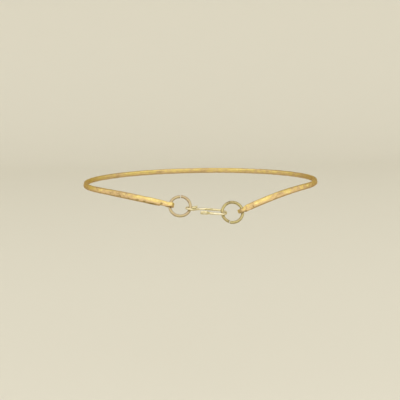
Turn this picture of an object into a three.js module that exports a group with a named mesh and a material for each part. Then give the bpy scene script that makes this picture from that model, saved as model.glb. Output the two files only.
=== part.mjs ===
// Collar choker necklace: one stiff hammered brass bar goes round the neck, its two ends are
// curled into eyes at the nape, and two jump rings and an S-hook close it there.
// Units are millimetres. +Z goes up along the neck, the wearer faces -Y and +X is the wearer's left.
// The origin is the centre of the neck opening, level with the bar at the sides.
import * as THREE from "three";

// Collar bar
const COLLAR_WIDTH = 128.6; // across the neck, measured at the middle of the bar
const COLLAR_DEPTH = 114; // front to nape, measured at the middle of the bar
const BAR_HEIGHT = 3.15;
const BAR_THICKNESS = 2.2;
const BAR_BEVEL = 0.55;
const DROOP_START = 30; // degrees behind the sides, where the ends begin to dip

// Eyes: the bar's ends are drawn out into a strip, and the strip is curled inwards
const STRIP_THICKNESS = 0.9;
const STRIP_BEVEL = 0.2;
const SHOULDER_LENGTH = 0.8; // from the full bar to the thin strip
const EYE_REACH = 2.4; // from the middle of the held ring wire to the eye's far end
const EYE_PLAY = 0.42; // free space between the ring wire and the eye, on each side
const EYE_SEAM = 0.3; // slit that is left where the strip's end meets the strip again

// Jump rings
const RING_DIAMETER = 12;
const RING_WIRE = 1.5;
const RING_SLIT = 0.4; // saw cut that is left where a ring closes

// S-hook
const HOOK_WIRE = 1.25;
const HOOK_SPAN = 16.4; // between the two ring wires that the hook holds
const HOOK_PLAY = 0.5; // free space between a held ring wire and the end of its bend
const HOOK_TILT = 10; // degrees, how far the outer side of the hook hangs down
const HOOK_TWIST = 7; // degrees that it hangs down more at the right bend than at the left one
const SHANK_EASE = 0.36; // length of the shank's handles, as a share of the shank
const TIP_THICKNESS = 0.85; // of the hammered tips

// Meshing
const BAR_STEP = 4; // degrees of the collar between two sections
const CORNER_STEP = 22.5; // degrees between two sections of a curled corner
const RING_SIDES = 16;
const WIRE_SIDES = 6;
const SHANK_STEPS = 8;

// The two ends of the collar. The dip is how far the bar's end hangs below the sides, the lean is
// how far its outer face looks up. The ring hangs so many degrees down and back from the eye, the
// hook turn is how far past that line the hook holds it, and the saw cut is at slitAt.
const ENDS = {
  left: {
    sign: 1,
    dip: 3.9,
    lean: 32,
    stripLength: 4.2,
    stripRoot: 2.75,
    stripTip: 2.25,
    cornerRadius: 0.85,
    ringDown: 6.5,
    ringBack: 5,
    hookTurn: -2,
    slitAt: 96,
  },
  right: {
    sign: -1,
    dip: 6.6,
    lean: 26,
    stripLength: 3.4,
    stripRoot: 2.95,
    stripTip: 1.95,
    cornerRadius: 1.4,
    ringDown: 13,
    ringBack: 7,
    hookTurn: 15,
    slitAt: -57,
  },
};

// Height of the hammered bar from the front to an end, as a share of BAR_HEIGHT.
const BAR_HEIGHTS = [
  { along: 0, share: 1 },
  { along: 0.5, share: 0.93 },
  { along: 0.62, share: 0.96 },
  { along: 0.75, share: 1.01 },
  { along: 0.9, share: 1.08 },
  { along: 1, share: 1.02 },
];

// The two arms of the S-hook: length from the middle of the bend, free space in the bend on each
// side of the ring wire, degrees that the shank leaves the bend inwards, how far the free end
// flares away from the axis and rises, and the size of its flattened tip.
const ARMS = {
  left: { length: 3.6, slack: 0.7, slant: 52, flare: 1.6, rise: 0.9, tipWidth: 1.5, tipLength: 1.4 },
  right: { length: 10.5, slack: 1.4, slant: -2, flare: 1.2, rise: -0.1, tipWidth: 1.9, tipLength: 4 },
};

// How the flare of a free end grows along its arm, as a share of the flare.
const FLARE = [
  { along: 0, share: 0 },
  { along: 0.3, share: 0.28 },
  { along: 0.6, share: 0.5 },
  { along: 0.8, share: 0.82 },
  { along: 1, share: 1 },
];

const UP = new THREE.Vector3(0, 0, 1);
const ALONG = new THREE.Vector3(1, 0, 0);
const radians = THREE.MathUtils.degToRad;

const brass = {
  bar: new THREE.MeshStandardMaterial({ color: 0xd9b366, roughness: 0.42, metalness: 1 }),
  ring: new THREE.MeshStandardMaterial({ color: 0xcdb283, roughness: 0.38, metalness: 1 }),
  hook: new THREE.MeshStandardMaterial({ color: 0xe6d196, roughness: 0.25, metalness: 1 }),
};

// A vector that is the sum of the given vectors, each times its factor.
function sum(...terms) {
  const total = new THREE.Vector3();
  for (const [vector, factor] of terms) total.addScaledVector(vector, factor);
  return total;
}

// Value of a table of shares at a place along it, from 0 to 1.
function tableShare(rows, along) {
  const next = Math.max(1, rows.findIndex((row) => row.along >= along));
  const [from, to] = [rows[next - 1], rows[next]];
  return THREE.MathUtils.mapLinear(along, from.along, to.along, from.share, to.share);
}

// Corners of a bevelled rectangle, for the bar and the strip.
function bevelledOutline(height, thickness, bevel) {
  const [tall, deep] = [height / 2, thickness / 2];
  return [
    [tall, bevel - deep],
    [tall, deep - bevel],
    [tall - bevel, deep],
    [bevel - tall, deep],
    [-tall, deep - bevel],
    [-tall, bevel - deep],
    [bevel - tall, -deep],
    [tall - bevel, -deep],
  ];
}

// Corners of a wire's section, which is round unless it is hammered flat.
function wireOutline(height, thickness) {
  return Array.from({ length: WIRE_SIDES }, (_, side) => {
    const angle = Math.PI * (0.5 + (2 * side) / WIRE_SIDES);
    return [(Math.cos(angle) * height) / 2, (Math.sin(angle) * thickness) / 2];
  });
}

// Closed body through a row of sections. A section has its centre, its two axes and its outline,
// and the first axis crossed with the second points along the row.
function loft(sections) {
  const sides = sections[0].outline.length;
  const positions = [];
  for (const { centre, tall, deep, outline } of sections) {
    for (const [x, y] of outline) positions.push(...sum([centre, 1], [tall, x], [deep, y]));
  }
  const triangles = [];
  const last = (sections.length - 1) * sides;
  for (let start = 0; start < last; start += sides) {
    for (let side = 0; side < sides; side += 1) {
      const [here, beside] = [start + side, start + ((side + 1) % sides)];
      triangles.push(here, beside, beside + sides, here, beside + sides, here + sides);
    }
  }
  for (let side = 1; side < sides - 1; side += 1) {
    triangles.push(0, side + 1, side, last, last + side, last + side + 1);
  }
  const geometry = new THREE.BufferGeometry();
  geometry.setAttribute("position", new THREE.Float32BufferAttribute(positions, 3));
  geometry.setIndex(triangles);
  geometry.computeVertexNormals();
  return geometry;
}

// Points of an arc in a flat path, each with its heading in degrees. A positive turn bears left.
function arcPath(x, y, radius, from, to) {
  const steps = Math.max(1, Math.ceil(Math.abs(to - from) / CORNER_STEP));
  const turn = Math.sign(to - from);
  return Array.from({ length: steps + 1 }, (_, step) => {
    const heading = from + ((to - from) * step) / steps;
    const angle = radians(heading);
    return {
      x: x + turn * radius * Math.sin(angle),
      y: y - turn * radius * Math.cos(angle),
      heading,
    };
  });
}

// Place of the bar at an angle behind the side, with the directions along it, up and inwards.
function barFrame(end, angle, endAngle) {
  const turned = radians(angle);
  const bent = Math.max(0, angle - DROOP_START) / (endAngle - DROOP_START);
  const fall = (-2 * end.dip * bent) / radians(endAngle - DROOP_START);
  const centre = new THREE.Vector3(
    (end.sign * COLLAR_WIDTH * Math.cos(turned)) / 2,
    (COLLAR_DEPTH * Math.sin(turned)) / 2,
    -end.dip * bent ** 2,
  );
  const along = new THREE.Vector3(
    (-end.sign * COLLAR_WIDTH * Math.sin(turned)) / 2,
    (COLLAR_DEPTH * Math.cos(turned)) / 2,
    fall,
  ).normalize();
  const inward = UP.clone().cross(along).multiplyScalar(end.sign).normalize();
  const upward = along.clone().cross(inward).multiplyScalar(end.sign);
  const way = (angle + 90) / (endAngle + 90);
  const lean = radians(end.lean) * way ** 2;
  return {
    centre,
    along,
    way,
    tall: sum([upward, Math.cos(lean)], [inward, Math.sin(lean)]),
    deep: sum([inward, Math.cos(lean)], [upward, -Math.sin(lean)]),
  };
}

// Flat path of the strip and its curl, from the bar's end: x runs along the bar, y inwards.
const EYE_OPENING = RING_WIRE + 2 * EYE_PLAY;
const EYE_RADIUS = (EYE_OPENING + STRIP_THICKNESS) / 2;
const STRIP_OFFSET = (STRIP_THICKNESS - BAR_THICKNESS) / 2;

function eyeCentre(end) {
  return { x: SHOULDER_LENGTH + end.stripLength, y: STRIP_OFFSET + EYE_RADIUS };
}

function stripPath(end) {
  const middle = eyeCentre(end);
  const radius = Math.min(end.cornerRadius, EYE_RADIUS);
  const cornerX = middle.x + EYE_REACH - STRIP_THICKNESS / 2 - radius;
  const stop = STRIP_OFFSET + STRIP_THICKNESS / 2 + EYE_SEAM;
  return [
    { x: SHOULDER_LENGTH, y: STRIP_OFFSET, heading: 0 },
    ...arcPath(cornerX, STRIP_OFFSET + radius, radius, 0, 90),
    ...arcPath(cornerX, STRIP_OFFSET + 2 * EYE_RADIUS - radius, radius, 90, 180),
    ...arcPath(middle.x, middle.y, EYE_RADIUS, 180, 270),
    { x: middle.x - EYE_RADIUS, y: stop, heading: 270 },
  ];
}

// Sections of half the collar, from the front to the curled end.
function barHalf(end, endAngle) {
  const steps = Math.round((endAngle + 90) / BAR_STEP);
  const sections = Array.from({ length: steps + 1 }, (_, step) => {
    const frame = barFrame(end, -90 + ((endAngle + 90) * step) / steps, endAngle);
    const height = BAR_HEIGHT * tableShare(BAR_HEIGHTS, frame.way);
    return { ...frame, outline: bevelledOutline(height, BAR_THICKNESS, BAR_BEVEL) };
  });
  const root = sections[steps];
  const path = stripPath(end);
  path.forEach(({ x, y, heading }, index) => {
    const turned = radians(heading);
    const narrowing = Math.min(1, (x - SHOULDER_LENGTH) / end.stripLength);
    const curled = heading > 0 ? 1 : narrowing;
    const height = THREE.MathUtils.lerp(end.stripRoot, end.stripTip, curled);
    const before = path[index - 1];
    if (before && Math.hypot(x - before.x, y - before.y) < EYE_SEAM / 10) return;
    sections.push({
      centre: sum([root.centre, 1], [root.along, x], [root.deep, y]),
      tall: root.tall,
      deep: sum([root.along, -Math.sin(turned)], [root.deep, Math.cos(turned)]),
      outline: bevelledOutline(height, STRIP_THICKNESS, STRIP_BEVEL),
    });
  });
  return sections;
}

// Where a ring hangs: its middle, its axes and the point of its wire that the hook holds.
const RING_RADIUS = (RING_DIAMETER - RING_WIRE) / 2;

function ringFrame(end, endAngle) {
  const root = barFrame(end, endAngle, endAngle);
  const middle = eyeCentre(end);
  const eye = sum([root.centre, 1], [root.along, middle.x], [root.deep, middle.y]);
  const [down, back] = [radians(end.ringDown), radians(end.ringBack)];
  const away = new THREE.Vector3(
    -end.sign * Math.cos(down) * Math.cos(back),
    Math.cos(down) * Math.sin(back),
    -Math.sin(down),
  );
  const facing = away.clone().cross(root.tall).normalize();
  const across = facing.clone().cross(away);
  const turn = radians(end.hookTurn);
  const centre = sum([eye, 1], [away, RING_RADIUS]);
  return {
    centre,
    away,
    across,
    facing,
    held: sum([centre, 1], [away, RING_RADIUS * Math.cos(turn)], [across, RING_RADIUS * Math.sin(turn)]),
  };
}

// The collar ends where the two rings and the hook just bridge the opening at the nape.
function findEndAngle() {
  let [near, far] = [DROOP_START, 90];
  while (far - near > 1e-6) {
    const angle = (near + far) / 2;
    const gap = ringFrame(ENDS.left, angle).held.distanceTo(ringFrame(ENDS.right, angle).held);
    if (gap > HOOK_SPAN) near = angle;
    else far = angle;
  }
  return near;
}

// The bar with both eyes, made in one row of sections from the left end to the right one.
function makeCollarBar(endAngle) {
  const left = barHalf(ENDS.left, endAngle);
  const right = barHalf(ENDS.right, endAngle);
  return new THREE.Mesh(loft([...left.reverse(), ...right.slice(1)]), brass.bar);
}

// A round wire ring that is cut through once, in its own plane with its middle at the origin.
function makeJumpRing(slitAt) {
  const halfSlit = THREE.MathUtils.radToDeg(RING_SLIT / 2 / RING_RADIUS);
  const arc = 360 - 2 * halfSlit;
  const sections = Array.from({ length: RING_SIDES + 1 }, (_, step) => {
    const angle = radians(slitAt + halfSlit + (arc * step) / RING_SIDES);
    const outwards = new THREE.Vector3(Math.cos(angle), Math.sin(angle), 0);
    return {
      centre: outwards.clone().multiplyScalar(RING_RADIUS),
      tall: UP,
      deep: outwards,
      outline: wireOutline(RING_WIRE, RING_WIRE),
    };
  });
  return new THREE.Mesh(loft(sections), brass.ring);
}

// Radius of the middle of the hook's wire in a bend.
function bendRadius(arm) {
  return (RING_WIRE + HOOK_WIRE) / 2 + arm.slack;
}

// Flat path of the free arm of the hook, from the bend to the tip. The direction along x is 1 or -1.
function armPath(arm, x, direction, out) {
  return FLARE.slice(1).map(({ along, share }) => ({
    x: x + direction * arm.length * along,
    y: out * (bendRadius(arm) + arm.flare * share),
    rise: arm.rise * share,
    tip: Math.max(0, 1 - (arm.length * (1 - along)) / arm.tipLength),
    tipWidth: arm.tipWidth,
  }));
}

// Flat path of the shank between the ends of the two bends, which it leaves in their headings.
function shankPath(from, to) {
  const handle = Math.hypot(to.x - from.x, to.y - from.y) * SHANK_EASE;
  const [start, stop] = [radians(from.heading), radians(to.heading)];
  const curve = new THREE.CubicBezierCurve(
    new THREE.Vector2(from.x, from.y),
    new THREE.Vector2(from.x + handle * Math.cos(start), from.y + handle * Math.sin(start)),
    new THREE.Vector2(to.x - handle * Math.cos(stop), to.y - handle * Math.sin(stop)),
    new THREE.Vector2(to.x, to.y),
  );
  return curve.getPoints(SHANK_STEPS).slice(1, -1);
}

// The whole flat path of the S-hook: short arm, bend, shank, bend and long arm. x runs from the
// left ring to the right one and y outwards, away from the neck.
function hookPath() {
  const [left, right] = [ARMS.left, ARMS.right];
  const [leftRadius, rightRadius] = [bendRadius(left), bendRadius(right)];
  const leftX = -HOOK_SPAN / 2 + left.slack - HOOK_PLAY;
  const rightX = HOOK_SPAN / 2 - right.slack + HOOK_PLAY;
  const leftBend = arcPath(leftX, 0, leftRadius, 180, -left.slant);
  const rightBend = arcPath(rightX, 0, rightRadius, -right.slant, 180);
  return [
    ...armPath(left, leftX, 1, -1).reverse(),
    ...leftBend,
    ...shankPath(leftBend[leftBend.length - 1], rightBend[0]),
    ...rightBend,
    ...armPath(right, rightX, -1, 1),
  ];
}

function makeSHook() {
  const path = hookPath();
  const sections = path.map((point, index) => {
    const before = path[Math.max(0, index - 1)];
    const after = path[Math.min(path.length - 1, index + 1)];
    const ahead = new THREE.Vector3(after.x - before.x, after.y - before.y, 0).normalize();
    const twist = (radians(HOOK_TWIST) * point.x) / HOOK_SPAN;
    const height = THREE.MathUtils.lerp(HOOK_WIRE, point.tipWidth ?? HOOK_WIRE, point.tip ?? 0);
    const thickness = THREE.MathUtils.lerp(HOOK_WIRE, TIP_THICKNESS, point.tip ?? 0);
    return {
      centre: new THREE.Vector3(point.x, point.y, -(point.rise ?? 0)).applyAxisAngle(ALONG, twist),
      tall: UP.clone().applyAxisAngle(ALONG, twist),
      deep: ahead.cross(UP).applyAxisAngle(ALONG, twist),
      outline: wireOutline(height, thickness),
    };
  });
  return new THREE.Mesh(loft(sections), brass.hook);
}

// Puts a piece made around the origin at its place, with its own axes along the given ones.
function place(piece, centre, xAxis, yAxis, zAxis) {
  piece.position.copy(centre);
  piece.quaternion.setFromRotationMatrix(new THREE.Matrix4().makeBasis(xAxis, yAxis, zAxis));
  return piece;
}

const endAngle = findEndAngle();
const hangs = { left: ringFrame(ENDS.left, endAngle), right: ringFrame(ENDS.right, endAngle) };

const collarBar = makeCollarBar(endAngle);
collarBar.name = "collar_bar";

const closure = new THREE.Group();
for (const side of ["left", "right"]) {
  const { centre, away, across, facing } = hangs[side];
  const ring = place(makeJumpRing(ENDS[side].slitAt), centre, away, across, facing);
  ring.name = `jump_ring_${side}`;
  closure.add(ring);
}

const hookAxis = hangs.right.held.clone().sub(hangs.left.held).normalize();
const outwards = new THREE.Vector3(0, Math.cos(radians(HOOK_TILT)), -Math.sin(radians(HOOK_TILT)));
const hookFacing = hookAxis.clone().cross(outwards).normalize();
const hookOut = hookFacing.clone().cross(hookAxis);
const hookMiddle = hangs.left.held.clone().lerp(hangs.right.held, 0.5);
const sHook = place(makeSHook(), hookMiddle, hookAxis, hookOut, hookFacing);
sHook.name = "s_hook";
closure.add(sHook);

const necklace = new THREE.Group();
necklace.add(collarBar, closure);

export default necklace;
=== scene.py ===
"""Looks of a collar choker necklace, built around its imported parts.

One stiff hammered brass bar goes round the neck. Its two ends are drawn out and curled into eyes,
and two jump rings and an S-hook close it at the nape. Metres, +Z up along the neck, nape at +Y.
"""

import logging
import math
from dataclasses import dataclass, field, replace
from enum import Enum
from typing import Any, Mapping, Sequence

import bmesh
import bpy
from mathutils import Matrix, Vector, noise
from mathutils.geometry import interpolate_bezier


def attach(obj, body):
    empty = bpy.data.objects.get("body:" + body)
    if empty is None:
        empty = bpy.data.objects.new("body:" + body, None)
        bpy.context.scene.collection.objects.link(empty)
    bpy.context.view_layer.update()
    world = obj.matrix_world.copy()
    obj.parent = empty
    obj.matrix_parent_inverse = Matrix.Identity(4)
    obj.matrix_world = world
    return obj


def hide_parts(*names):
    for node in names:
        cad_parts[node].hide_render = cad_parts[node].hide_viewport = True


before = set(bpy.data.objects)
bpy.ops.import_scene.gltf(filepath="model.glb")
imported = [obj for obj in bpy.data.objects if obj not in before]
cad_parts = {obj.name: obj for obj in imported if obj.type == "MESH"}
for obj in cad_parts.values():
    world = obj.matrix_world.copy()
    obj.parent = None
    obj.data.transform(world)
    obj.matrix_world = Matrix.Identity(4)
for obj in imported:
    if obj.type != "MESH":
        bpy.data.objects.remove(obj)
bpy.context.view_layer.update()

BODY = "root"
MM = 0.001
UP = Vector((0, 0, 1))
LOG = logging.getLogger("necklace")


def lerp(low: float, high: float, share: float) -> float:
    """Value that lies a share of the way from low to high."""
    return low + (high - low) * share


def smooth_step(share: float) -> float:
    """Share of the way, from 0 to 1, eased in and out."""
    share = min(1.0, max(0.0, share))
    return share * share * (3 - 2 * share)


def table_value(rows: Sequence[tuple[float, float]], along: float, eased: bool = True) -> float:
    """Value of a short table at a place along it.

    Args:
        rows: Pairs of a place, from 0 to 1, and the value there.
        along: The place that is asked for.
        eased: Whether it is eased from row to row, and not straight.

    Returns:
        The value at that place.
    """
    for (start, low), (stop, high) in zip(rows, rows[1:]):
        if along <= stop:
            share = (along - start) / (stop - start)
            return lerp(low, high, smooth_step(share) if eased else share)
    return rows[-1][1]


@dataclass(frozen=True)
class PathPoint:
    """Point of a flat path, with its heading in radians."""

    x: float
    y: float
    heading: float


def arc_path(
    x: float, y: float, radius: float, start: float, stop: float, step: float
) -> list[PathPoint]:
    """Arc of a flat path.

    Args:
        x: Middle of the arc.
        y: Middle of the arc.
        radius: Radius of the arc.
        start: Heading at the start, in degrees.
        stop: Heading at the end, in degrees. A larger one bears left.
        step: Degrees from point to point.

    Returns:
        The points of the arc, both ends included.
    """
    count = max(1, math.ceil(abs(stop - start) / step))
    turn = math.copysign(1, stop - start)
    points = []
    for index in range(count + 1):
        heading = math.radians(lerp(start, stop, index / count))
        reach = turn * radius
        points.append(
            PathPoint(x + reach * math.sin(heading), y - reach * math.cos(heading), heading)
        )
    return points


def fill_straights(path: Sequence[PathPoint], longest: float) -> list[PathPoint]:
    """Copy of a path with more points on its straights and none twice.

    Args:
        path: The points of the path.
        longest: The longest step that is left.

    Returns:
        The points of the finer path.
    """
    shortest = longest / 20
    finer = [path[0]]
    for point in path[1:]:
        before = finer[-1]
        length = math.hypot(point.x - before.x, point.y - before.y)
        if length < shortest:
            continue
        count = math.ceil(length / longest)
        for index in range(1, count + 1):
            share = index / count
            finer.append(
                PathPoint(
                    lerp(before.x, point.x, share),
                    lerp(before.y, point.y, share),
                    point.heading if index == count else lerp(before.heading, point.heading, share),
                )
            )
    return finer


@dataclass(frozen=True)
class Section:
    """Cross-section of a forged piece: its place, its two axes and its size.

    The bevel is the size of the corner that is hammered off, and a wire has none: its section is
    an oval. A higher sharpness leaves crisper edges beside the bevel.
    """

    centre: Vector
    tall: Vector
    deep: Vector
    height: float
    thickness: float
    bevel: float | None = None
    sharpness: float = 14

    def reach(self, angle: float) -> tuple[float, float]:
        """Outline at an angle, along the tall and the deep axis."""
        x, y = math.cos(angle), math.sin(angle)
        half_height, half_depth = self.height / 2, self.thickness / 2
        if self.bevel is None:
            return x * half_height, y * half_depth
        corner = half_height + half_depth - self.bevel
        power = self.sharpness
        total = (abs(x) / half_height) ** power + (abs(y) / half_depth) ** power
        total += ((abs(x) + abs(y)) / corner) ** power
        size = total ** (-1 / power)
        return x * size, y * size

    def point(self, angle: float) -> Vector:
        """Point of the outline at an angle."""
        x, y = self.reach(angle)
        return self.centre + self.tall * x + self.deep * y


class SweptMetal:
    """Metal that is drawn through a row of sections, with the place of each point kept.

    Three attributes follow the surface: grain is where the point would lie if the piece were
    straight, along x, depth says how far the hammer drove it in, and stain_and_light how stained it
    is, in part by real staining and in part by painted shade, where less than nothing is a bright
    spot, in part real wear and in part a painted highlight.
    """

    GRAIN = "grain"
    DEPTH = "depth"
    STAIN_AND_LIGHT = "stain_and_light"

    def __init__(self, sections: Sequence[Section], sides: int) -> None:
        """Draws the metal through the sections.

        Args:
            sections: The sections, where tall crossed with deep points along the row.
            sides: How many points go round each section.
        """
        self.mesh = bmesh.new()
        self.grain = self.mesh.verts.layers.float_vector.new(self.GRAIN)
        self.depth = self.mesh.verts.layers.float.new(self.DEPTH)
        self.stain_and_light = self.mesh.verts.layers.float.new(self.STAIN_AND_LIGHT)
        bmesh.ops.create_circle(self.mesh, cap_ends=True, segments=sides, radius=1)
        self.mesh.faces.ensure_lookup_table()
        face = self.mesh.faces[0]
        angles = [math.atan2(vert.co.y, vert.co.x) for vert in face.verts]
        along = 0.0
        for index, section in enumerate(sections):
            if index:
                face = bmesh.ops.extrude_discrete_faces(self.mesh, faces=[face])["faces"][0]
                along += (section.centre - sections[index - 1].centre).length
            for vert, angle in zip(face.verts, angles):
                x, y = section.reach(angle)
                vert.co = section.point(angle)
                vert[self.grain] = Vector((along, x, y))
        self.close()

    def close(self) -> None:
        """Closes the open start and turns every face outwards."""
        rim = [edge for edge in self.mesh.edges if edge.is_boundary]
        if rim:
            bmesh.ops.holes_fill(self.mesh, edges=rim, sides=0)
        bmesh.ops.recalc_face_normals(self.mesh, faces=self.mesh.faces)

    def round_ends(self, size: float) -> None:
        """Rounds the rims of the two cut ends.

        Args:
            size: Width of the rounding.
        """
        wall_corners = 4
        caps = [face for face in self.mesh.faces if len(face.verts) > wall_corners]
        rims = {edge for cap in caps for edge in cap.edges}
        bmesh.ops.bevel(
            self.mesh,
            geom=list(rims),
            offset=size,
            segments=3,
            profile=0.5,
            affect="EDGES",
            material=-1,
            clamp_overlap=True,
        )

    def hammer(self, blow: "Hammering") -> None:
        """Drives in the hammer's marks.

        Args:
            blow: The size and strength of the marks.
        """
        self.mesh.normal_update()
        moves = []
        for vert in self.mesh.verts:
            straight = vert[self.grain] / MM
            dent, lift = blow.at(straight)
            moves.append((vert, vert.normal * ((lift - dent) * MM), dent))
        for vert, move, dent in moves:
            vert.co += move
            vert[self.depth] = dent / blow.deepest

    def mark(self, stains_and_light: Sequence["Stain"]) -> None:
        """Leaves staining, wear, painted shade and painted highlights on the metal.

        Args:
            stains_and_light: The stained and bright marks, in part painted shade and painted
                highlights, with their places on the straightened piece.
        """
        for vert in self.mesh.verts:
            straight = vert[self.grain] / MM
            near = [stain_and_light for stain_and_light in stains_and_light if abs(straight.x - stain_and_light.along) < stain_and_light.length]
            vert[self.stain_and_light] = sum(stain_and_light.strength_at(straight) for stain_and_light in near)

    def shaped(self, name: str) -> bpy.types.Object:
        """Makes the finished piece.

        Args:
            name: Name of the piece.

        Returns:
            The new object, at the origin.
        """
        for face in self.mesh.faces:
            face.smooth = True
        data = bpy.data.meshes.new(name)
        self.mesh.to_mesh(data)
        self.mesh.free()
        piece = bpy.data.objects.new(name, data)
        bpy.context.scene.collection.objects.link(piece)
        return piece


@dataclass(frozen=True)
class Hammering:
    """Marks of a hammer on a bar: shallow dents that lie side by side, on a slightly wavy bar.

    All sizes are in millimetres. The spread is how far a dent reaches, as a share of its size.
    """

    dent_length: float
    dent_width: float
    deepest: float
    wave_length: float
    wave_height: float
    wave_width: float = 2
    spread: float = 0.75
    seed: float = 0

    def at(self, straight: Vector) -> tuple[float, float]:
        """Depth of the dent and height of the wave at a point of the straight bar."""
        place = Vector(
            (
                straight.x / self.dent_length + self.seed,
                straight.y / self.dent_width,
                straight.z / self.dent_width,
            )
        )
        distances, _ = noise.voronoi(place)
        flat = 1 - smooth_step(distances[0] / self.spread)
        place = Vector(
            (
                straight.x / self.wave_length,
                straight.y / self.wave_width,
                straight.z / self.wave_width + self.seed,
            )
        )
        return self.deepest * flat, self.wave_height * (noise.noise(place) - 1) / 2


@dataclass(frozen=True)
class Stain:
    """Soft-edged stained mark, or a bright mark if its strength is less than nothing. The listed
    marks are in part real staining and wear and in part painted shade and painted highlights.

    Its place is the distance along the straightened piece and the height above its middle, and
    its length and height are those of its half. All are in millimetres.
    """

    along: float
    up: float
    length: float
    height: float
    strength: float

    def strength_at(self, straight: Vector) -> float:
        """Strength of the stain at a point of the straight piece."""
        across = (straight.y - self.up) / self.height
        apart = math.hypot((straight.x - self.along) / self.length, across)
        return self.strength * (1 - smooth_step(apart))


class Side(Enum):
    """The wearer's left or right, as the sign of X."""

    LEFT = 1
    RIGHT = -1


@dataclass(frozen=True)
class CollarEnd:
    """One end of the collar: how it dips and leans, its curled strip and how its ring hangs.

    The lean is how far the outer face looks up, and the eye's is less than the bar's. A higher
    dip power leaves the dip to the bar's last part, and the strip pitch is how far the strip bends
    up again. The strip narrows from its root to its tip, and a higher taper leaves that to its
    last part. The eye's reach is from the middle of the ring's wire to the eye's far end. Lengths
    are in metres and angles in degrees.
    """

    side: Side
    dip: float
    dip_power: float
    lean: float
    eye_lean: float
    eye_reach: float
    strip_length: float
    strip_pitch: float
    strip_root: float
    strip_tip: float
    taper: float
    corner_radius: float
    ring_down: float
    ring_back: float
    hook_turn: float
    slit_at: float


@dataclass(frozen=True)
class BarPlace:
    """Place on the collar bar, with the directions along it, upwards and inwards."""

    centre: Vector
    along: Vector
    upward: Vector
    inward: Vector
    lean: float
    way: float

    def axes(self, lean: float | None = None) -> tuple[Vector, Vector]:
        """Directions up the bar's face and through its thickness, at its own lean or another.

        Args:
            lean: Degrees that the outer face looks up, if not its own.

        Returns:
            The two directions.
        """
        turned = math.radians(self.lean if lean is None else lean)
        tall = self.upward * math.cos(turned) + self.inward * math.sin(turned)
        deep = self.inward * math.cos(turned) - self.upward * math.sin(turned)
        return tall, deep


@dataclass(frozen=True)
class RingPlace:
    """How a ring hangs: its middle, its three axes and the point that the hook holds."""

    centre: Vector
    away: Vector
    across: Vector
    facing: Vector
    held: Vector

    def matrix(self) -> Matrix:
        """Moves a ring that was made in the XY plane to its place."""
        turned = Matrix((self.away, self.across, self.facing)).transposed().to_4x4()
        return Matrix.Translation(self.centre) @ turned


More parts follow.
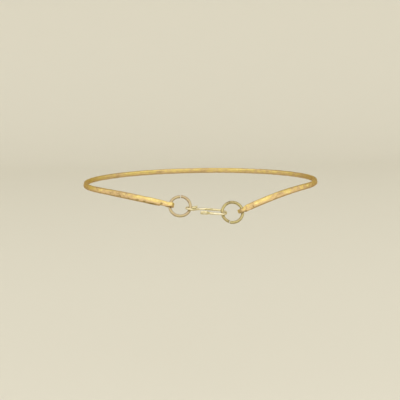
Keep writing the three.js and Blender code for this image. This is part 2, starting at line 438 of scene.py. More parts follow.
@dataclass
class Closure:
    """Sizes that the collar, the rings and the hook share, and the places that follow from them.

    The droop starts so many degrees behind the side of the neck. The eye play is the free space
    round the wire in an eye, and the hook span is from one held point of the rings to the other.
    """

    collar_width: float = 128.6 * MM
    collar_depth: float = 114 * MM
    droop_start: float = 30
    bar_thickness: float = 2.2 * MM
    strip_thickness: float = 0.9 * MM
    shoulder_length: float = 0.8 * MM
    eye_play: float = 0.6 * MM
    ring_diameter: float = 12 * MM
    ring_wire: float = 1.5 * MM
    hook_span: float = 16.5 * MM
    left: CollarEnd = CollarEnd(
        side=Side.LEFT,
        dip=4.0 * MM,
        dip_power=2,
        lean=32,
        eye_lean=18,
        eye_reach=1.95 * MM,
        strip_length=4.2 * MM,
        strip_pitch=10,
        strip_root=3.1 * MM,
        strip_tip=2.65 * MM,
        taper=1,
        corner_radius=0.85 * MM,
        ring_down=8.9,
        ring_back=5,
        hook_turn=-4.5,
        slit_at=96,
    )
    right: CollarEnd = CollarEnd(
        side=Side.RIGHT,
        dip=6.9 * MM,
        dip_power=2.25,
        lean=26,
        eye_lean=12,
        eye_reach=2.4 * MM,
        strip_length=3.4 * MM,
        strip_pitch=0,
        strip_root=3.45 * MM,
        strip_tip=2.1 * MM,
        taper=6,
        corner_radius=1.4 * MM,
        ring_down=10,
        ring_back=7,
        hook_turn=12,
        slit_at=-60,
    )
    end_angle: float = field(init=False)

    def __post_init__(self) -> None:
        """Finds where the collar ends, so that rings and hook just bridge the opening."""
        near, far = self.droop_start, 90.0
        closest = 1e-6
        while far - near > closest:
            self.end_angle = (near + far) / 2
            gap = (self.ring_place(self.left).held - self.ring_place(self.right).held).length
            if gap > self.hook_span:
                near = self.end_angle
            else:
                far = self.end_angle

    @property
    def ring_radius(self) -> float:
        """Radius of the middle of a ring's wire."""
        return (self.ring_diameter - self.ring_wire) / 2

    @property
    def eye_radius(self) -> float:
        """Radius of the middle of the curled strip."""
        return self.ring_wire / 2 + self.eye_play + self.strip_thickness / 2

    @property
    def strip_offset(self) -> float:
        """How far the strip's middle lies inwards of the bar's middle."""
        return (self.strip_thickness - self.bar_thickness) / 2

    def eye_centre(self, end: CollarEnd) -> tuple[float, float]:
        """Middle of an eye, along the bar from its end and inwards."""
        return self.shoulder_length + end.strip_length, self.strip_offset + self.eye_radius

    def strip_place(self, end: CollarEnd, root: BarPlace, x: float) -> BarPlace:
        """Place on the line of the strip, which bends up more and more on its way to the eye.

        Args:
            end: The end of the collar.
            root: The place where the full bar ends.
            x: How far along the bar from there.

        Returns:
            The place, with its directions turned by the bend.
        """
        reach = self.eye_centre(end)[0]
        pitch = math.radians(end.strip_pitch)
        share = min(1.0, x / reach)
        lift = pitch * (reach * share**3 / 3 + max(0.0, x - reach))
        turned = pitch * share**2
        along = root.along * math.cos(turned) + root.upward * math.sin(turned)
        upward = root.upward * math.cos(turned) - root.along * math.sin(turned)
        centre = root.centre + root.along * x + root.upward * lift
        return replace(root, centre=centre, along=along, upward=upward)

    def turned_point(
        self, end: CollarEnd, root: BarPlace, x: float, y: float, lean: float
    ) -> Vector:
        """Point of the strip or its eye, which lean less and less from the bar's end on.

        Args:
            end: The end of the collar.
            root: The place where the full bar ends.
            x: How far along the bar from there.
            y: How far inwards.
            lean: How many degrees the strip leans there.

        Returns:
            The point.
        """
        axis = self.strip_offset + self.eye_radius / 2
        place = self.strip_place(end, root, x)
        before, after = place.axes(end.lean)[1], place.axes(lean)[1]
        return place.centre + before * axis + after * (y - axis)

    def bar_place(self, end: CollarEnd, angle: float) -> BarPlace:
        """Place on the bar at an angle behind the side of the neck.

        Args:
            end: The end that this half of the bar leads to.
            angle: Degrees from the side, where -90 is the front.

        Returns:
            The place and its directions.
        """
        sign = end.side.value
        turned = math.radians(angle)
        bent = max(0.0, angle - self.droop_start) / (self.end_angle - self.droop_start)
        power = end.dip_power
        droop = math.radians(self.end_angle - self.droop_start)
        fall = -power * end.dip * bent ** (power - 1) / droop
        half_width, half_depth = sign * self.collar_width / 2, self.collar_depth / 2
        cosine, sine = math.cos(turned), math.sin(turned)
        centre = Vector((half_width * cosine, half_depth * sine, -end.dip * bent**power))
        along = Vector((-half_width * sine, half_depth * cosine, fall)).normalized()
        inward = (UP.cross(along) * sign).normalized()
        upward = along.cross(inward) * sign
        way = (angle + 90) / (self.end_angle + 90)
        return BarPlace(centre, along, upward, inward, end.lean * way**2, way)

    def ring_place(self, end: CollarEnd) -> RingPlace:
        """How the ring in an eye hangs."""
        root = self.bar_place(end, self.end_angle)
        eye = self.turned_point(end, root, *self.eye_centre(end), end.eye_lean)
        down, back = math.radians(end.ring_down), math.radians(end.ring_back)
        away = Vector(
            (
                -end.side.value * math.cos(down) * math.cos(back),
                math.cos(down) * math.sin(back),
                -math.sin(down),
            )
        )
        facing = away.cross(root.axes()[0]).normalized()
        across = facing.cross(away)
        centre = eye + away * self.ring_radius
        turn = math.radians(end.hook_turn)
        held = centre + (away * math.cos(turn) + across * math.sin(turn)) * self.ring_radius
        return RingPlace(centre, away, across, facing, held)


class Socket:
    """Number that a shader works out, with Python's own arithmetic."""

    def __init__(self, graph: "ShaderGraph", output: bpy.types.NodeSocket) -> None:
        """Keeps an output of a node of the graph."""
        self.graph = graph
        self.output = output

    def __add__(self, other: "Socket | float") -> "Socket":
        """Sum of the two."""
        return self.graph.math("ADD", self, other)

    __radd__ = __add__

    def __mul__(self, other: "Socket | float") -> "Socket":
        """Product of the two."""
        return self.graph.math("MULTIPLY", self, other)

    __rmul__ = __mul__

    def __sub__(self, other: "Socket | float") -> "Socket":
        """This number less the other."""
        return self.graph.math("SUBTRACT", self, other)

    def __rsub__(self, other: "Socket | float") -> "Socket":
        """The other number less this one."""
        return self.graph.math("SUBTRACT", other, self)

    def band(self, low: float, high: float) -> "Socket":
        """Mask that goes smoothly from 0 at low to 1 at high."""
        ranged = self.graph.node(
            "ShaderNodeMapRange",
            {"interpolation_type": "SMOOTHSTEP"},
            {"Value": self, "From Min": low, "From Max": high},
        )
        return Socket(self.graph, ranged.outputs["Result"])


class ShaderGraph:
    """Nodes of one material."""

    def __init__(self, name: str) -> None:
        """Starts a material with only its output."""
        self.material = bpy.data.materials.new(name)
        self.material.use_nodes = True
        self.tree = self.material.node_tree
        self.tree.nodes.clear()

    def node(
        self, kind: str, settings: Mapping[str, Any], inputs: Mapping[str | int, Any]
    ) -> bpy.types.Node:
        """Adds a node.

        Args:
            kind: Blender's name of the node's type.
            settings: The node's own settings, which are made first.
            inputs: Values or links, by the name or the number of the socket.

        Returns:
            The new node.
        """
        made = self.tree.nodes.new(kind)
        for key, value in settings.items():
            setattr(made, key, value)
        for key, value in inputs.items():
            if isinstance(value, Socket):
                value = value.output
            if isinstance(value, bpy.types.NodeSocket):
                self.tree.links.new(value, made.inputs[key])
            else:
                made.inputs[key].default_value = value
        return made

    def math(self, operation: str, first: Socket | float, second: Socket | float) -> Socket:
        """Number made of two others by a Math node."""
        made = self.node("ShaderNodeMath", {"operation": operation}, {0: first, 1: second})
        return Socket(self, made.outputs[0])

    def mixed(self, factor: Socket, first: Any, second: Any) -> bpy.types.NodeSocket:
        """Colour that goes from the first to the second as the factor goes from 0 to 1."""
        made = self.node("ShaderNodeMix", {"data_type": "RGBA"}, {0: factor, 6: first, 7: second})
        return made.outputs[2]

    def attribute(self, name: str, output: str) -> bpy.types.NodeSocket:
        """Output of a named attribute of the surface."""
        return self.node("ShaderNodeAttribute", {"attribute_name": name}, {}).outputs[output]

    def scaled(self, vector: bpy.types.NodeSocket, scale: Sequence[float]) -> bpy.types.NodeSocket:
        """Vector whose parts are each multiplied by a number."""
        made = self.node("ShaderNodeVectorMath", {"operation": "MULTIPLY"}, {0: vector, 1: scale})
        return made.outputs[0]

    def part(self, vector: bpy.types.NodeSocket, axis: str) -> Socket:
        """One part of a vector: X, Y or Z."""
        return Socket(self, self.node("ShaderNodeSeparateXYZ", {}, {0: vector}).outputs[axis])

    def noise(self, vector: bpy.types.NodeSocket, detail: float, roughness: float = 0.5) -> Socket:
        """Noise about 0.5, mostly from 0 to 1, with features of about one unit of the vector."""
        contrast = 2.4
        made = self.node(
            "ShaderNodeTexNoise",
            {"noise_dimensions": "3D"},
            {"Vector": vector, "Scale": 1.0, "Detail": detail, "Roughness": roughness},
        )
        return 0.5 + contrast * (Socket(self, made.outputs["Fac"]) - 0.5)


Colour = tuple[float, float, float, float]


@dataclass(frozen=True)
class Mottle:
    """Pattern of patches on the metal: how many there are to a millimetre, along and across."""

    along: float
    across: float
    detail: float
    roughness: float

    def over(self, graph: ShaderGraph, grain: bpy.types.NodeSocket) -> Socket:
        """Lays the pattern over the straightened piece.

        Args:
            graph: The nodes of the material.
            grain: Place on the straightened piece, in millimetres.

        Returns:
            Number about 0.5, mostly from 0 to 1.
        """
        scale = (self.along, self.across, self.across)
        return graph.noise(graph.scaled(grain, scale), self.detail, self.roughness)


BLOTCHES = Mottle(along=0.9, across=1.2, detail=3, roughness=0.6)
SPECKS = Mottle(along=2.6, across=3.2, detail=2, roughness=0.6)
SCRATCHES = Mottle(along=0.5, across=9, detail=2, roughness=0.7)


@dataclass(frozen=True)
class BrassFinish:
    """Look of a piece of brass: its metal, its wear on raised parts, its tarnishing and its darker
    specks, and the painted highlights and painted shade laid in with them.

    Colours are linear. Lengths are in millimetres. The underside_shade is painted shade: how much
    more of the tarnishing colour is laid on the lower part of a bar, where it fades from
    underside_shade_from up to underside_shade_to. Each of the three marks starts at its own from,
    spreads over its own edge and covers its own share of the metal.
    The slot is the name of the record's material, and nothing reads it.
    """

    name: str
    slot: str
    metal: Colour
    worn_and_highlight: Colour
    tarnish_and_shade: Colour
    dark_and_shade: Colour
    edge: Colour
    tarnish_from: float
    worn_from: float
    dark_from: float
    underside_shade: float
    roughness: float
    cloud_length: float
    cloud_height: float
    scratch_depth: float
    tarnish_edge: float = 0.3
    worn_edge: float = 0.35
    dark_edge: float = 0.2
    tarnish_share: float = 0.8
    worn_share: float = 0.6
    dark_share: float = 0.75
    underside_shade_from: float = -1.2
    underside_shade_to: float = 0.2

    def material(self) -> bpy.types.Material:
        """Makes the material."""
        graph = ShaderGraph(self.name)
        grain = graph.scaled(graph.attribute(SweptMetal.GRAIN, "Vector"), (1 / MM, 1 / MM, 1 / MM))
        depth = Socket(graph, graph.attribute(SweptMetal.DEPTH, "Fac"))
        stain_and_light = Socket(graph, graph.attribute(SweptMetal.STAIN_AND_LIGHT, "Fac"))
        height = graph.part(grain, "Y")
        cloudy = Mottle(
            along=1 / self.cloud_length, across=1 / self.cloud_height, detail=3, roughness=0.55
        )
        clouds = cloudy.over(graph, grain)
        blotches, specks = BLOTCHES.over(graph, grain), SPECKS.over(graph, grain)
        scratches = SCRATCHES.over(graph, grain)
        # Painted shade: the lower part of a bar is darkened, where less light falls on it
        underside_shade_mask = 1 - height.band(self.underside_shade_from, self.underside_shade_to)
        # Tarnish keeps to dents and staining, and wear brightens the raised parts; the lower part
        # of a bar takes painted shade, and the listed marks add painted shade and painted
        # highlights
        tarnish_and_shade_mask = clouds * 0.55 + blotches * 0.45 + 0.6 * stain_and_light + 0.12 * depth
        tarnish_and_shade_mask = tarnish_and_shade_mask + self.underside_shade * underside_shade_mask
        patina_and_shade = tarnish_and_shade_mask.band(self.tarnish_from, self.tarnish_from + self.tarnish_edge)
        # Negative listed marks add painted highlights to the wear here
        wear_and_highlight_mask = blotches * 0.5 + specks * 0.5 - 0.7 * stain_and_light - 0.2 * depth
        ridges_and_highlights = wear_and_highlight_mask.band(self.worn_from, self.worn_from + self.worn_edge)
        # Painted shade from the listed marks and from the lower part of a bar joins the darker
        # specks here
        dark_specks_and_shade_mask = specks * 0.6 + clouds * 0.4 + 0.15 * depth + 0.3 * stain_and_light + 0.1 * underside_shade_mask
        spots_and_shade = dark_specks_and_shade_mask.band(self.dark_from, self.dark_from + self.dark_edge)
        colour = graph.mixed(self.tarnish_share * patina_and_shade, self.metal, self.tarnish_and_shade)
        colour = graph.mixed(self.worn_share * ridges_and_highlights * (1 - 0.7 * patina_and_shade), colour, self.worn_and_highlight)
        colour = graph.mixed(self.dark_share * spots_and_shade, colour, self.dark_and_shade)
        rough = self.roughness + 0.08 * patina_and_shade + 0.1 * (specks - 0.5) + 0.08 * spots_and_shade - 0.06 * ridges_and_highlights
        bump = graph.node(
            "ShaderNodeBump",
            {},
            {
                "Height": 0.4 * scratches + 0.6 * specks,
                "Distance": self.scratch_depth * MM,
                "Strength": 1.0,
            },
        )
        shader = graph.node(
            "ShaderNodeBsdfPrincipled",
            {},
            {
                "Base Color": colour,
                "Metallic": 1.0,
                "Specular Tint": self.edge,
                "Roughness": rough,
                "Normal": bump.outputs["Normal"],
            },
        )
        graph.node("ShaderNodeOutputMaterial", {}, {"Surface": shader.outputs["BSDF"]})
        return graph.material


HAMMERED_BRASS = BrassFinish(
    name="bar_hammered_brass",
    slot="hammered_brass",
    metal=(0.66, 0.505, 0.17, 1),
    worn_and_highlight=(0.86, 0.71, 0.32, 1),
    tarnish_and_shade=(0.57, 0.39, 0.21, 1),
    dark_and_shade=(0.24, 0.175, 0.05, 1),
    edge=(0.74, 0.6, 0.38, 1),
    tarnish_from=0.45,
    worn_from=0.5,
    dark_from=0.78,
    # Painted shade on the lower part of the bar
    underside_shade=0.4,
    roughness=0.33,
    cloud_length=7,
    cloud_height=3,
    scratch_depth=0.04,
)
RING_BRASS = BrassFinish(
    name="ring_pinkish_brass",
    slot="ring_brass",
    metal=(0.52, 0.425, 0.235, 1),
    worn_and_highlight=(0.72, 0.61, 0.40, 1),
    tarnish_and_shade=(0.50, 0.365, 0.24, 1),
    dark_and_shade=(0.16, 0.12, 0.055, 1),
    edge=(0.35, 0.26, 0.16, 1),
    tarnish_from=0.42,
    worn_from=0.55,
    dark_from=0.74,
    underside_shade=0.0,
    roughness=0.36,
    cloud_length=4,
    cloud_height=2,
    scratch_depth=0.03,
)
GREENISH_RING_BRASS = replace(
    RING_BRASS,
    name="ring_greenish_brass",
    metal=(0.50, 0.425, 0.19, 1),
    worn_and_highlight=(0.70, 0.61, 0.33, 1),
    tarnish_and_shade=(0.45, 0.36, 0.18, 1),
)
HOOK_BRASS = BrassFinish(
    name="hook_bright_brass",
    slot="hook_brass",
    metal=(0.73, 0.64, 0.40, 1),
    worn_and_highlight=(0.93, 0.88, 0.70, 1),
    tarnish_and_shade=(0.52, 0.45, 0.20, 1),
    dark_and_shade=(0.26, 0.22, 0.085, 1),
    edge=(0.78, 0.7, 0.5, 1),
    tarnish_from=0.5,
    worn_from=0.48,
    dark_from=0.85,
    underside_shade=0.0,
    roughness=0.24,
    cloud_length=4,
    cloud_height=2,
    scratch_depth=0.02,
)


def dress(piece: bpy.types.Object, finish: BrassFinish, node: str) -> None:
    """Gives a piece its finish and lets it stand for its node.

    Args:
        piece: The finished piece.
        finish: Its finish.
        node: The node that it replaces.
    """
    piece.data.materials.append(finish.material())
    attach(piece, BODY)
    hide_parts(node)
    LOG.info("%s: %d faces, %s", piece.name, len(piece.data.polygons), finish.name)


# Staining and wear along the bar, with painted light among them: the mark at 13.7 is painted shade
# under the strip past the shoulder, and the bright marks at 5.1 and 6.9 are painted highlights on
# the curl's bend
LEFT_STAINS_AND_PAINTED_LIGHT = (
    Stain(along=6.9, up=0, length=1.5, height=2.4, strength=-0.5),
    Stain(along=5.1, up=0, length=2.4, height=2.6, strength=-0.9),
    Stain(along=9.4, up=-0.2, length=1.6, height=2, strength=-0.5),
    Stain(along=11.1, up=0.2, length=2.6, height=1.6, strength=-0.3),
    Stain(along=13.7, up=-0.7, length=1.3, height=1.3, strength=2.2),
    Stain(along=18.7, up=-1.5, length=5, height=0.8, strength=1.2),
    Stain(along=19.1, up=0.5, length=5, height=1.5, strength=-0.5),
    Stain(along=23.1, up=-1.4, length=0.9, height=0.7, strength=1.8),
    Stain(along=26.3, up=0.4, length=2.4, height=1.4, strength=-0.5),
    Stain(along=27.1, up=-1.2, length=2, height=0.9, strength=1.1),
    Stain(along=30.7, up=0.5, length=2, height=1.2, strength=0.5),
    Stain(along=32.1, up=-1.2, length=1.2, height=0.9, strength=1.1),
    Stain(along=35.7, up=0.5, length=0.9, height=0.7, strength=-0.8),
    Stain(along=35.3, up=-0.7, length=1, height=0.8, strength=1.0),
    Stain(along=37.7, up=-1.2, length=1.4, height=0.9, strength=1.4),
    Stain(along=40.1, up=0.2, length=2, height=1.8, strength=0.5),
    Stain(along=45.6, up=-0.4, length=4, height=1.9, strength=0.7),
    Stain(along=52.1, up=0.4, length=1.6, height=1.2, strength=-0.3),
    Stain(along=58.6, up=0, length=3, height=1.4, strength=-0.1),
)
# Staining and wear along the right half, with painted light among them: the bright mark at 360 is a
# painted highlight near the right end
RIGHT_STAINS_AND_PAINTED_LIGHT = (
    Stain(along=308.1, up=0.2, length=3, height=1.5, strength=-0.6),
    Stain(along=312.5, up=0.2, length=1.6, height=1.2, strength=1.2),
    Stain(along=318.1, up=0, length=2.5, height=1.6, strength=0.4),
    Stain(along=323.5, up=0.9, length=2.4, height=0.9, strength=0.9),
    Stain(along=326.5, up=-0.3, length=3, height=1.2, strength=-0.3),
    Stain(along=332.7, up=0.2, length=2.6, height=1.3, strength=0.8),
    Stain(along=335.7, up=-1.3, length=2.6, height=0.8, strength=1.2),
    Stain(along=337.5, up=0.3, length=1.2, height=0.6, strength=0.9),
    Stain(along=342.1, up=0.4, length=3, height=1.4, strength=-0.1),
    Stain(along=347.1, up=0.2, length=2.6, height=1.2, strength=-0.5),
    Stain(along=349.5, up=-0.6, length=0.8, height=1.4, strength=1.5),
    Stain(along=353.4, up=0.3, length=0.8, height=1.2, strength=1.4),
    Stain(along=354.7, up=-0.9, length=2.2, height=0.9, strength=1.0),
    Stain(along=356.5, up=0, length=1.4, height=1.6, strength=1.1),
    Stain(along=360, up=0, length=2.6, height=2.2, strength=-1.6),
)


@dataclass
class CollarBar:
    """The stiff bar round the neck, with its two curled ends.

    The heights are shares of the bar's height, by the share of the way from the front to the end.
    The eye seam is the gap where the curl comes back to the strip. The steps between sections are
    in degrees on the bar and the curl, and in metres on the strip.
    """

    closure: Closure
    height: float = 3.15 * MM
    bevel: float = 0.5 * MM
    strip_bevel: float = 0.22 * MM
    end_rounding: float = 0.12 * MM
    eye_seam: float = 0.3 * MM
    sides: int = 48
    bar_step: float = 0.42
    curl_step: float = 7
    strip_step: float = 0.22 * MM
    heights: tuple[tuple[float, float], ...] = (
        (0, 1),
        (0.5, 0.93),
        (0.62, 0.96),
        (0.75, 1.02),
        (0.9, 1.12),
        (1, 1.1),
    )
    hammering: Hammering = Hammering(
        dent_length=2.6,
        dent_width=1.8,
        deepest=0.12,
        wave_length=8,
        wave_height=0.1,
    )

    def strip_path(self, end: CollarEnd) -> list[PathPoint]:
        """Flat path of the strip and its curl: x runs along the bar and y inwards."""
        shared = self.closure
        x, y = shared.eye_centre(end)
        curl = shared.eye_radius
        offset = shared.strip_offset
        radius = min(end.corner_radius, curl)
        corner_x = x + end.eye_reach - shared.strip_thickness / 2 - radius
        stop = offset + shared.strip_thickness / 2 + self.eye_seam
        return fill_straights(
            [
                PathPoint(0, 0, 0),
                PathPoint(shared.shoulder_length, offset, 0),
                *arc_path(corner_x, offset + radius, radius, 0, 90, self.curl_step),
                *arc_path(corner_x, offset + 2 * curl - radius, radius, 90, 180, self.curl_step),
                *arc_path(x, y, curl, 180, 270, self.curl_step),
                PathPoint(x - curl, stop, math.radians(270)),
            ],
            self.strip_step,
        )

    def strip_sections(self, end: CollarEnd, root: BarPlace, root_height: float) -> list[Section]:
        """Sections of the shoulder, the strip and the curl.

        Args:
            end: The end of the collar.
            root: The place where the full bar ends.
            root_height: Height of the bar there.

        Returns:
            The sections, from the bar to the strip's cut end.
        """
        shared = self.closure
        sections = []
        for point in self.strip_path(end)[1:]:
            thinned = smooth_step(point.x / shared.shoulder_length) if point.heading == 0 else 1
            drawn = min(1, max(0, (point.x - shared.shoulder_length) / end.strip_length))
            drawn = 1 if point.heading > 0 else drawn
            lean = lerp(end.lean, end.eye_lean, drawn)
            place = shared.strip_place(end, root, point.x)
            tall, deep = place.axes(lean)
            thickness = lerp(shared.bar_thickness, shared.strip_thickness, thinned)
            outer = (thickness - shared.bar_thickness) / 2
            y = outer if thinned < 1 else point.y
            strip_height = lerp(end.strip_root, end.strip_tip, drawn**end.taper)
            turn = point.heading
            sections.append(
                Section(
                    shared.turned_point(end, root, point.x, y, lean),
                    tall,
                    deep * math.cos(turn) - place.along * math.sin(turn),
                    lerp(root_height, strip_height, thinned),
                    thickness,
                    lerp(self.bevel, self.strip_bevel, thinned),
                )
            )
        return sections

    def half(self, end: CollarEnd) -> list[Section]:
        """Sections of one half, from the front to the curled end."""
        shared = self.closure
        sweep = shared.end_angle + 90
        count = round(sweep / self.bar_step)
        sections = []
        for index in range(count + 1):
            place = shared.bar_place(end, -90 + sweep * index / count)
            height = self.height * table_value(self.heights, place.way)
            sections.append(
                Section(place.centre, *place.axes(), height, shared.bar_thickness, self.bevel)
            )
        return sections + self.strip_sections(end, place, height)

    def build(self) -> bpy.types.Object:
        """Builds the bar."""
        left = self.half(self.closure.left)
        right = self.half(self.closure.right)
        metal = SweptMetal([*reversed(left), *right[1:]], self.sides)
        metal.hammer(self.hammering)
        metal.mark((*LEFT_STAINS_AND_PAINTED_LIGHT, *RIGHT_STAINS_AND_PAINTED_LIGHT))
        metal.round_ends(self.end_rounding)
        return metal.shaped("hammered_collar_bar")

    def make(self) -> None:
        """Builds the bar and dresses it."""
        dress(self.build(), HAMMERED_BRASS, "collar_bar")


@dataclass
class JumpRing:
    """Ring of wire that is cut through once, with its two ends pinched almost together.

    Towards the cut the ends bend out of line, and the bend is all the shorter for a higher
    power. The spread is how much of it goes outwards.
    """

    closure: Closure
    end: CollarEnd
    name: str
    node: str
    finish: BrassFinish
    slit: float = 0.4 * MM
    sides: int = 28
    steps: int = 150
    out_of_line: float = 0.1 * MM
    power: int = 6
    spread: float = 0.6
    end_rounding: float = 0.1 * MM

    def hammering(self) -> Hammering:
        """Faint marks of the pliers and the wear, in a different place on each ring."""
        return Hammering(
            dent_length=2.2,
            dent_width=1.1,
            deepest=0.02,
            wave_length=4,
            wave_height=0.02,
            seed=7 if self.end.side is Side.LEFT else 31,
        )

    def build(self) -> bpy.types.Object:
        """Builds the ring."""
        radius = self.closure.ring_radius
        half_slit = self.slit / 2 / radius
        start = math.radians(self.end.slit_at) + half_slit
        arc = 2 * math.pi - 2 * half_slit
        sections = []
        for index in range(self.steps + 1):
            share = index / self.steps
            angle = start + arc * share
            outwards = Vector((math.cos(angle), math.sin(angle), 0))
            near_cut = abs(2 * share - 1) ** self.power
            apart = near_cut * math.copysign(self.out_of_line, share - 0.5)
            sections.append(
                Section(
                    outwards * (radius + apart * self.spread) + UP * apart,
                    UP,
                    outwards,
                    self.closure.ring_wire,
                    self.closure.ring_wire,
                )
            )
        metal = SweptMetal(sections, self.sides)
        metal.hammer(self.hammering())
        metal.round_ends(self.end_rounding)
        bmesh.ops.transform(
            metal.mesh, matrix=self.closure.ring_place(self.end).matrix(), verts=metal.mesh.verts
        )
        return metal.shaped(self.name)

    def make(self) -> None:
        """Builds the ring and dresses it."""
        dress(self.build(), self.finish, self.node)


@dataclass(frozen=True)
class HookArm:
    """Free arm of the hook and the bend that it starts from. Lengths are in metres.

    The slant is how many degrees inwards the shank leaves the bend. The tip shape is how flat and
    wide the tip is from its root to its end.
    """

    length: float
    slack: float
    slant: float
    flare: float
    rise: float
    tip_width: float
    tip_length: float
    tip_shape: tuple[tuple[float, float], ...]


@dataclass(frozen=True)
class HookPoint:
    """Point of the hook in its own frame, with the share of the tip's flattening."""

    x: float
    y: float
    rise: float = 0.0
    flat: float = 0.0


# Painted highlights on the bends, the shank, the return arm and the tip, and painted shade on the
# upper part of the flattened tip
HOOK_PAINTED_LIGHT = (
    Stain(along=7.3, up=0, length=3, height=2, strength=-0.9),
    Stain(along=17, up=0, length=3, height=2, strength=-0.4),
    Stain(along=30.5, up=0, length=3, height=2, strength=-0.9),
    Stain(along=37.5, up=0, length=4, height=2, strength=-0.6),
    Stain(along=42.6, up=-0.5, length=1.4, height=1, strength=1.6),
    Stain(along=44.4, up=0.4, length=1.6, height=0.9, strength=-0.6),
)


@dataclass
class SHook:
    """Hook of bright wire, bent into an S and slightly twisted, with hammered tips.

    The play is the free space between its bends and the rings. The tilt, the twist and the bend's
    step are in degrees. A higher ease bends the shank more gently at its two ends. The flares are
    the share of an arm's flare, by the share of the way to its tip.
    """

    closure: Closure
    wire: float = 1.25 * MM
    play: float = 0.5 * MM
    tilt: float = 8
    twist: float = 10
    ease: float = 0.36
    tip_thickness: float = 0.85 * MM
    end_rounding: float = 0.2 * MM
    left: HookArm = HookArm(
        length=3.6 * MM,
        slack=0.7 * MM,
        slant=52,
        flare=1.6 * MM,
        rise=0.4 * MM,
        tip_width=1.5 * MM,
        tip_length=1.4 * MM,
        tip_shape=((0, 0), (1, 1)),
    )
    right: HookArm = HookArm(
        length=10.5 * MM,
        slack=1.4 * MM,
        slant=-2,
        flare=1.2 * MM,
        rise=-0.4 * MM,
        tip_width=2.0 * MM,
        tip_length=4.2 * MM,
        tip_shape=((0, 0), (0.12, 0.85), (0.5, 1), (0.8, 0.85), (1, 0.35)),
    )
    sides: int = 28
    bend_step: float = 5
    arm_steps: int = 30
    shank_steps: int = 40
    flares: tuple[tuple[float, float], ...] = ((0, 0), (0.3, 0.28), (0.6, 0.5), (0.8, 0.82), (1, 1))
    hammering: Hammering = Hammering(
        dent_length=3,
        dent_width=1.2,
        deepest=0.02,
        wave_length=5,
        wave_height=0.02,
        seed=53,
    )

    def bend_radius(self, arm: HookArm) -> float:
        """Radius of the middle of the wire in a bend."""
        return (self.closure.ring_wire + self.wire) / 2 + arm.slack

    def arm_points(self, arm: HookArm, x: float, direction: int, out: int) -> list[HookPoint]:
        """Free arm from its bend to its tip.

        Args:
            arm: The arm.
            x: Middle of its bend.
            direction: 1 if the arm runs towards positive x and -1 if not.
            out: 1 if the arm lies on the outer side and -1 if not.

        Returns:
            The points of the arm.
        """
        points = []
        for index in range(1, self.arm_steps + 1):
            along = index / self.arm_steps
            flared = table_value(self.flares, along, eased=False)
            tipped = max(0, 1 - arm.length * (1 - along) / arm.tip_length)
            points.append(
                HookPoint(
                    x + direction * arm.length * along,
                    out * (self.bend_radius(arm) + arm.flare * flared),
                    arm.rise * flared,
                    table_value(arm.tip_shape, tipped),
                )
            )
        return points

    def shank_points(self, start: PathPoint, stop: PathPoint) -> list[HookPoint]:
        """Curved shank between the ends of the two bends, which it leaves in their headings."""
        first, last = Vector((start.x, start.y)), Vector((stop.x, stop.y))
        handle = (last - first).length * self.ease
        leaving = Vector((math.cos(start.heading), math.sin(start.heading)))
        arriving = Vector((math.cos(stop.heading), math.sin(stop.heading)))
        curve = interpolate_bezier(
            first, first + handle * leaving, last - handle * arriving, last, self.shank_steps + 1
        )
        return [HookPoint(point.x, point.y) for point in curve[1:-1]]

    def points(self) -> list[tuple[HookPoint, HookArm]]:
        """Whole hook, from the short arm's tip to the long arm's."""
        left_radius, right_radius = self.bend_radius(self.left), self.bend_radius(self.right)
        left_x = -self.closure.hook_span / 2 + self.left.slack - self.play
        right_x = self.closure.hook_span / 2 - self.right.slack + self.play
        left_bend = arc_path(left_x, 0, left_radius, 180, -self.left.slant, self.bend_step)
        right_bend = arc_path(right_x, 0, right_radius, -self.right.slant, 180, self.bend_step)
        first = self.arm_points(self.left, left_x, 1, -1)[::-1]
        first += [HookPoint(point.x, point.y) for point in left_bend]
        first += self.shank_points(left_bend[-1], right_bend[0])
        second = [HookPoint(point.x, point.y) for point in right_bend]
        second += self.arm_points(self.right, right_x, -1, 1)
        return [(point, self.left) for point in first] + [(point, self.right) for point in second]

    def sections(self) -> list[Section]:
        """Sections of the wire, in the hook's own frame."""
        points = self.points()
        sections = []
        for index, (point, arm) in enumerate(points):
            before = points[max(0, index - 1)][0]
            after = points[min(len(points) - 1, index + 1)][0]
            ahead = Vector((after.x - before.x, after.y - before.y, 0)).normalized()
            twisted = math.radians(self.twist) * point.x / self.closure.hook_span
            turn = Matrix.Rotation(twisted, 3, "X")
            sections.append(
                Section(
                    turn @ Vector((point.x, point.y, -point.rise)),
                    turn @ UP,
                    turn @ ahead.cross(UP),
                    lerp(self.wire, arm.tip_width, point.flat),
                    lerp(self.wire, self.tip_thickness, point.flat),
                )
            )
        return sections

    def matrix(self) -> Matrix:
        """Moves the hook from its own frame to its place between the rings."""
        left = self.closure.ring_place(self.closure.left).held
        right = self.closure.ring_place(self.closure.right).held
        axis = (right - left).normalized()
        tilt = math.radians(self.tilt)
        facing = axis.cross(Vector((0, math.cos(tilt), -math.sin(tilt)))).normalized()
        turned = Matrix((axis, facing.cross(axis), facing)).transposed().to_4x4()
        return Matrix.Translation((left + right) / 2) @ turned

    def build(self) -> bpy.types.Object:
        """Builds the hook."""
        metal = SweptMetal(self.sections(), self.sides)
        metal.hammer(self.hammering)
        metal.mark(HOOK_PAINTED_LIGHT)
        metal.round_ends(self.end_rounding)
        bmesh.ops.transform(metal.mesh, matrix=self.matrix(), verts=metal.mesh.verts)
        return metal.shaped("wire_s_hook")

    def make(self) -> None:
        """Builds the hook and dresses it."""
        dress(self.build(), HOOK_BRASS, "s_hook")


@dataclass(frozen=True)
class SoftLight:
    """Evenly bright rectangle: where it hangs and how wide and high it is, in metres.

    The radiance is the brightness at which its own face would be seen, where 1 is white.
    """

    name: str
    place: tuple[float, float, float]
    size: tuple[float, float]
    radiance: float


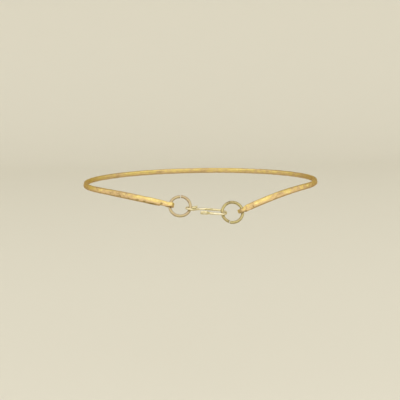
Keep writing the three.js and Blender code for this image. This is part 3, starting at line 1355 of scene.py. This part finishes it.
LIGHTS = (
    SoftLight("ceiling", place=(0, 0.5, 1.9), size=(3.2, 2.2), radiance=0.85),
    SoftLight("screen", place=(0, 2.0, 0.6), size=(3.4, 1.6), radiance=0.9),
    SoftLight("screen_left", place=(2.0, 0.3, 0.6), size=(3.4, 1.6), radiance=0.8),
    SoftLight("screen_right", place=(-2.0, 0.3, 0.6), size=(3.4, 1.6), radiance=0.8),
    SoftLight("lamp_left", place=(1.3, 1.2, 1.3), size=(0.5, 0.9), radiance=0.9),
    SoftLight("lamp_right", place=(-1.3, 1.2, 1.3), size=(0.5, 0.9), radiance=0.9),
)


@dataclass
class Studio:
    """Pale floor and backdrop, soft lights, and the camera behind the wearer.

    The focal share is the focal length over the picture's width, here in the photograph's pixels.
    The elevation, the turn and the roll of the camera are in degrees.
    """

    distance: float = 0.557
    focal_share: float = 988 / 400
    elevation: float = 8.0
    turn: float = 2.3
    roll: float = -0.8
    target: Vector = field(default_factory=lambda: Vector((0.00045, 0, -0.01046)))
    floor_level: float = -0.1
    floor_size: float = 3.0
    wall_distance: float = 1.0
    wall_height: float = 2.0
    bend: float = 0.5
    bend_steps: int = 24
    paper: Colour = (0.66, 0.63, 0.53, 1)
    air: Colour = (1.0, 0.97, 0.9, 1)
    air_strength: float = 0.6

    def camera(self) -> None:
        """Puts the camera at the photograph's angle."""
        data = bpy.data.cameras.new("camera")
        data.sensor_width = 36
        data.lens = data.sensor_width * self.focal_share
        data.clip_start = 0.01
        lift, turn = math.radians(self.elevation), math.radians(self.turn)
        back = Vector(
            (math.sin(turn) * math.cos(lift), math.cos(turn) * math.cos(lift), math.sin(lift))
        )
        right = (-back).cross(UP).normalized()
        upward = right.cross(-back)
        level = Matrix((right, upward, back)).transposed().to_4x4()
        rolled = Matrix.Rotation(math.radians(self.roll), 4, "Z")
        camera = bpy.data.objects.new("camera", data)
        camera.matrix_world = (
            Matrix.Translation(self.target + back * self.distance) @ level @ rolled
        )
        bpy.context.scene.collection.objects.link(camera)
        bpy.context.scene.camera = camera

    def backdrop(self) -> None:
        """Makes the floor, which curves up to a wall in front of the wearer."""
        mesh = bmesh.new()
        half = self.floor_size
        ends = [mesh.verts.new((x, half, self.floor_level)) for x in (-half, half)]
        edge = mesh.edges.new(ends)
        floor = bmesh.ops.extrude_edge_only(mesh, edges=[edge])["geom"]
        verts = [item for item in floor if isinstance(item, bmesh.types.BMVert)]
        bmesh.ops.translate(mesh, verts=verts, vec=(0, -half - self.wall_distance, 0))
        far = [item for item in floor if isinstance(item, bmesh.types.BMEdge)]
        corner = bmesh.ops.spin(
            mesh,
            geom=far + verts,
            cent=(0, -self.wall_distance, self.floor_level + self.bend),
            axis=(1, 0, 0),
            angle=-math.pi / 2,
            steps=self.bend_steps,
        )["geom_last"]
        rim = [item for item in corner if isinstance(item, bmesh.types.BMEdge)]
        wall = bmesh.ops.extrude_edge_only(mesh, edges=rim)["geom"]
        verts = [item for item in wall if isinstance(item, bmesh.types.BMVert)]
        bmesh.ops.translate(mesh, verts=verts, vec=(0, 0, self.wall_height))
        bmesh.ops.recalc_face_normals(mesh, faces=mesh.faces)
        for face in mesh.faces:
            face.smooth = True
        data = bpy.data.meshes.new("studio_floor")
        mesh.to_mesh(data)
        mesh.free()
        floor_piece = bpy.data.objects.new("studio_floor", data)
        bpy.context.scene.collection.objects.link(floor_piece)
        graph = ShaderGraph("pale_paper")
        shader = graph.node(
            "ShaderNodeBsdfPrincipled", {}, {"Base Color": self.paper, "Roughness": 0.9}
        )
        graph.node("ShaderNodeOutputMaterial", {}, {"Surface": shader.outputs["BSDF"]})
        data.materials.append(graph.material)

    def hang(self, light: SoftLight) -> None:
        """Hangs a light, with its face towards the necklace.

        Args:
            light: The light.
        """
        data = bpy.data.lights.new(light.name, "AREA")
        data.shape = "RECTANGLE"
        data.size, data.size_y = light.size
        data.energy = light.radiance * math.pi * data.size * data.size_y
        lamp = bpy.data.objects.new(light.name, data)
        lamp.location = light.place
        lamp.rotation_euler = (lamp.location - self.target).to_track_quat("Z", "Y").to_euler()
        bpy.context.scene.collection.objects.link(lamp)

    def build(self) -> None:
        """Sets up the camera, the floor and the lights."""
        self.camera()
        self.backdrop()
        for light in LIGHTS:
            self.hang(light)
        world = bpy.data.worlds.new("studio")
        world.use_nodes = True
        world.node_tree.nodes["Background"].inputs["Color"].default_value = self.air
        world.node_tree.nodes["Background"].inputs["Strength"].default_value = self.air_strength
        bpy.context.scene.world = world
        bpy.context.scene.view_settings.view_transform = "Standard"


def main() -> None:
    """Builds the studio and the necklace."""
    logging.basicConfig(level=logging.INFO, format="%(name)s %(message)s")
    Studio().build()
    closure = Closure()
    CollarBar(closure).make()
    JumpRing(closure, closure.left, "wire_ring_left", "jump_ring_left", RING_BRASS).make()
    JumpRing(
        closure, closure.right, "wire_ring_right", "jump_ring_right", GREENISH_RING_BRASS
    ).make()
    SHook(closure).make()


if __name__ == "__main__":
    main()
